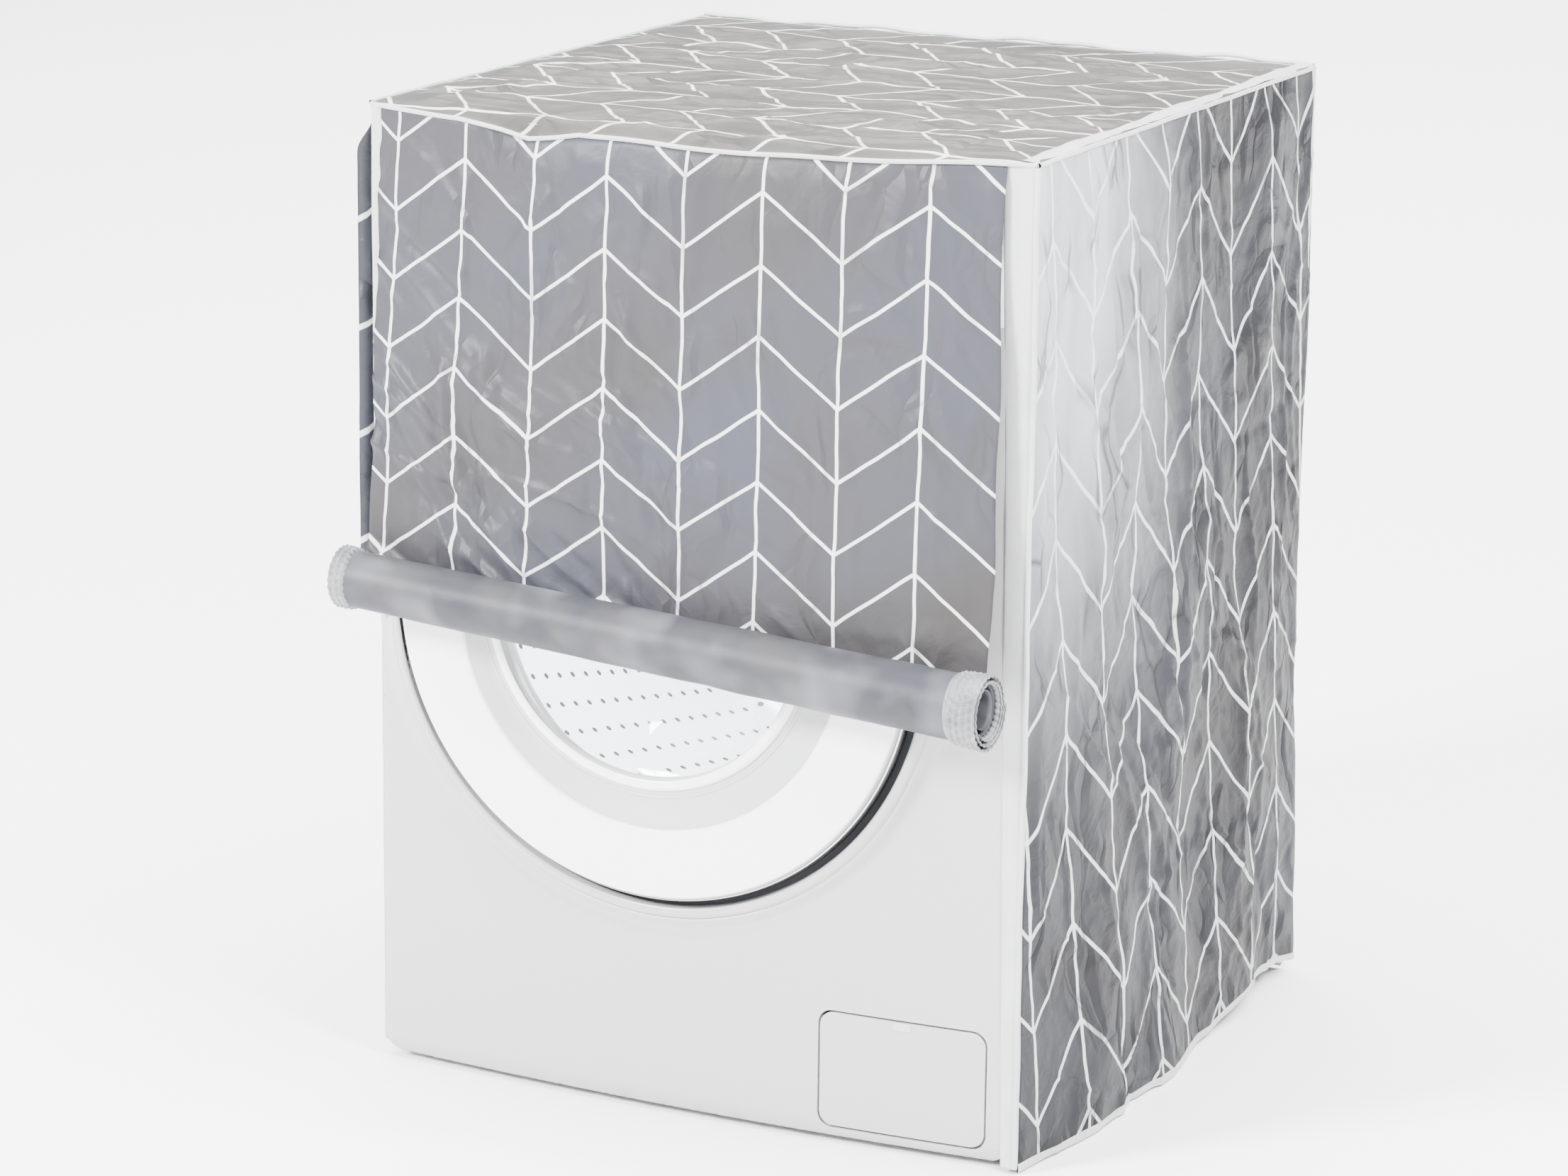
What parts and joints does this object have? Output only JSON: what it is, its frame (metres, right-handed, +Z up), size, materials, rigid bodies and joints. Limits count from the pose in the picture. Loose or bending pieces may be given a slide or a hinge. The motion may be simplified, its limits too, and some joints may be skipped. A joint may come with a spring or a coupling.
{
  "type": "covered front-loading washing machine",
  "caption": "Front-loading washing machine under a fitted printed dust cover, its front flap half rolled up to show the round door.",
  "frame": {"origin": "on the floor, under the middle of the bounding box", "axes": "+Z up, -Y out of the machine's front, +X to the right as seen from the front"},
  "size_m": [0.615, 0.705, 0.85],
  "materials": {
    "white_enamel": "stoved white enamel on sheet steel, soft gloss",
    "white_plastic": "injection-moulded white ABS, gloss",
    "grey_plastic": "moulded light grey plastic",
    "dark_plastic": "moulded dark grey plastic",
    "stainless_steel": "stainless steel sheet and turned steel",
    "cast_metal": "cast and pressed metal, unpainted",
    "grey_rubber": "moulded grey rubber",
    "black_rubber": "moulded black rubber",
    "door_glass": "clear pressed glass bowl",
    "concrete": "cast concrete",
    "printed_film": "soft grey plastic film with white printed herringbone lines, slight sheen",
    "white_binding": "white folded binding tape, sewn on"
  },
  "bodies": {
    "root": {"cabinet_left_wall": "white_enamel", "cabinet_right_wall": "white_enamel", "cabinet_rear_panel": "white_enamel", "base_pan": "white_enamel", "top_lid": "white_enamel", "front_panel": "white_enamel", "door_seat_collar": "dark_plastic", "door_surround": "white_enamel", "control_fascia": "white_plastic", "display_window": "dark_plastic", "power_cord_inlet": "black_rubber", "water_inlet_valve": "white_plastic", "drain_spigot": "dark_plastic", "dispenser_housing": "grey_plastic", "door_hinge_pin": "stainless_steel", "door_hinge_bracket": "stainless_steel", "door_lock": "dark_plastic", "tub": "grey_plastic", "door_gasket": "grey_rubber", "drum_bearing": "stainless_steel", "motor_housing": "cast_metal", "drive_belt": "black_rubber", "counterweight": "concrete", "suspension_spring_left": "stainless_steel", "suspension_spring_right": "stainless_steel", "damper_left": "dark_plastic", "damper_right": "dark_plastic", "drain_pump": "grey_plastic"},
    "door": {"door_ring": "white_plastic", "door_bezel": "grey_plastic", "door_inner_frame": "grey_plastic", "door_glass": "door_glass", "door_latch_hook": "stainless_steel", "door_hinge_arm": "stainless_steel"},
    "drum": {"drum": "stainless_steel", "drum_lifter_1": "white_plastic", "drum_lifter_2": "white_plastic", "drum_lifter_3": "white_plastic", "drum_shaft": "stainless_steel", "drum_pulley": "cast_metal"},
    "motor": {"motor_pulley": "stainless_steel"},
    "drawer": {"drawer_front": "white_plastic", "detergent_tray": "white_plastic"},
    "knob": {"programme_knob": "white_plastic"},
    "start_button": {"start_button": "grey_plastic"},
    "spin_button": {"spin_speed_button": "grey_plastic"},
    "pump_flap": {"pump_flap": "white_enamel"},
    "pump_filter": {"pump_filter_cap": "white_plastic"},
    "front_left_foot": {"front_left_foot": "black_rubber"},
    "front_right_foot": {"front_right_foot": "black_rubber"},
    "rear_left_foot": {"rear_left_foot": "black_rubber"},
    "rear_right_foot": {"rear_right_foot": "black_rubber"},
    "cover": {"cover_top": "printed_film", "cover_left_side": "printed_film", "cover_right_side": "printed_film", "cover_back": "printed_film"},
    "flap": {"front_flap": "printed_film"},
    "flap_roll": {"flap_roll": "printed_film", "roll_left_hem": "white_binding", "roll_right_hem": "white_binding"}
  },
  "joints": [
    {"name": "door_swing", "type": "hinge", "parent": "root", "child": "door", "pos_m": [-0.276, -0.2625, 0.438], "axis": [0, 0, -1], "range_deg": [0, 110]},
    {"name": "drum_spin", "type": "hinge", "parent": "root", "child": "drum", "pos_m": [-0.026, 0, 0.438], "axis": [0, 1, 0], "continuous": true},
    {"name": "motor_spin", "type": "hinge", "parent": "root", "child": "motor", "pos_m": [0.07, 0.25, 0.128], "axis": [0, 1, 0], "continuous": true},
    {"name": "drawer_slide", "type": "slide", "parent": "root", "child": "drawer", "axis": [0, -1, 0], "range_m": [0, 0.2]},
    {"name": "knob_turn", "type": "hinge", "parent": "root", "child": "knob", "pos_m": [0, -0.27, 0.782], "axis": [0, -1, 0], "continuous": true},
    {"name": "start_press", "type": "slide", "parent": "root", "child": "start_button", "axis": [0, 1, 0], "range_m": [0, 0.002], "stiffness_N_per_m": 400},
    {"name": "spin_speed_press", "type": "slide", "parent": "root", "child": "spin_button", "axis": [0, 1, 0], "range_m": [0, 0.002], "stiffness_N_per_m": 400},
    {"name": "pump_flap_swing", "type": "hinge", "parent": "root", "child": "pump_flap", "pos_m": [0.205, -0.263, 0.018], "axis": [0.9981, 0.0617, 0], "range_deg": [0, 80]},
    {"name": "pump_filter_turn", "type": "hinge", "parent": "root", "child": "pump_filter", "pos_m": [0.205, -0.205, 0.062], "axis": [0, -1, 0], "range_deg": [0, 180]},
    {"name": "front_left_foot_turn", "type": "hinge", "parent": "root", "child": "front_left_foot", "pos_m": [-0.255, -0.19, 0.005], "axis": [0, 0, 1], "range_deg": [-180, 180]},
    {"name": "front_right_foot_turn", "type": "hinge", "parent": "root", "child": "front_right_foot", "pos_m": [0.255, -0.19, 0.005], "axis": [0, 0, 1], "range_deg": [-180, 180]},
    {"name": "rear_left_foot_turn", "type": "hinge", "parent": "root", "child": "rear_left_foot", "pos_m": [-0.255, 0.285, 0.005], "axis": [0, 0, 1], "range_deg": [-180, 180]},
    {"name": "rear_right_foot_turn", "type": "hinge", "parent": "root", "child": "rear_right_foot", "pos_m": [0.255, 0.285, 0.005], "axis": [0, 0, 1], "range_deg": [-180, 180]},
    {"name": "cover_lift", "type": "slide", "parent": "root", "child": "cover", "axis": [0, 0, 1], "range_m": [0, 0.87]},
    {"name": "flap_swing", "type": "hinge", "parent": "cover", "child": "flap", "pos_m": [0, -0.279, 0.852], "axis": [-1, 0, 0], "range_deg": [0, 258]},
    {"name": "roll_up", "type": "slide", "parent": "flap", "child": "flap_roll", "axis": [0, 0, 1], "range_m": [0, 0.335], "deforming": ["front_flap", "flap_roll", "roll_left_hem", "roll_right_hem"]}
  ],
  "couplings": [
    {"joint": "motor_spin", "follows": "drum_spin", "ratio": 10.048},
    {"joint": "roll_up", "follows": "door_swing", "m_per_rad": 0.174},
    {"joint": "drawer_slide", "follows": "flap_swing", "m_per_rad": 0.0444}
  ]
}
